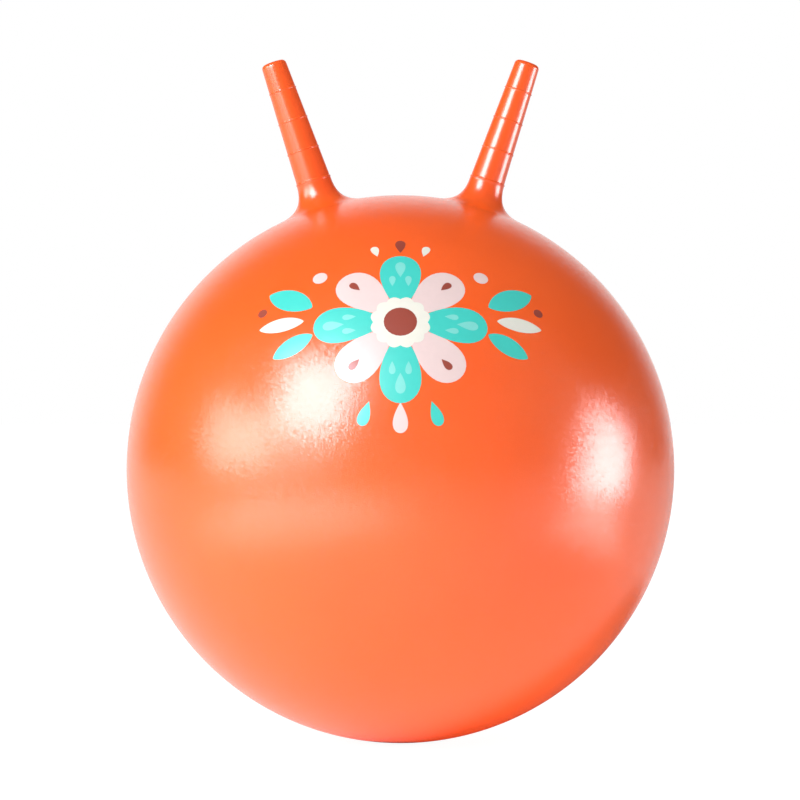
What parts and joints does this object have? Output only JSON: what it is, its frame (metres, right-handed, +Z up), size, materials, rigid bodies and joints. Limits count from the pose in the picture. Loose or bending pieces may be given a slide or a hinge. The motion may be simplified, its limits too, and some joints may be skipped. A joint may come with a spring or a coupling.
{
  "type": "hopper ball",
  "caption": "Inflated bouncing ball that a child sits on, with hollow ringed horns to hold, a flat patch it stands on and a stoppered air valve at the back.",
  "frame": {"origin": "centre of the flat patch that the ball stands on, at the floor", "axes": "+Z up; -Y towards the printed front; the two horns lean towards -X and +X"},
  "size_m": [0.45, 0.45, 0.5607],
  "materials": {
    "skin": "orange vinyl with a very fine stipple, satin",
    "horn": "the same orange vinyl, smooth and glossier",
    "seat": "soft vinyl, satin, a shade deeper than the skin",
    "plug": "off-white moulded stopper, satin"
  },
  "bodies": {
    "root": {"ball_skin": "skin", "left_horn": "horn", "right_horn": "horn", "valve_seat": "seat"},
    "plug": {"valve_plug": "plug"}
  },
  "joints": [
    {"name": "plug_pull", "type": "slide", "parent": "root", "child": "plug", "axis": [0, 0.9397, 0.342], "range_m": [0, 0.03]}
  ]
}
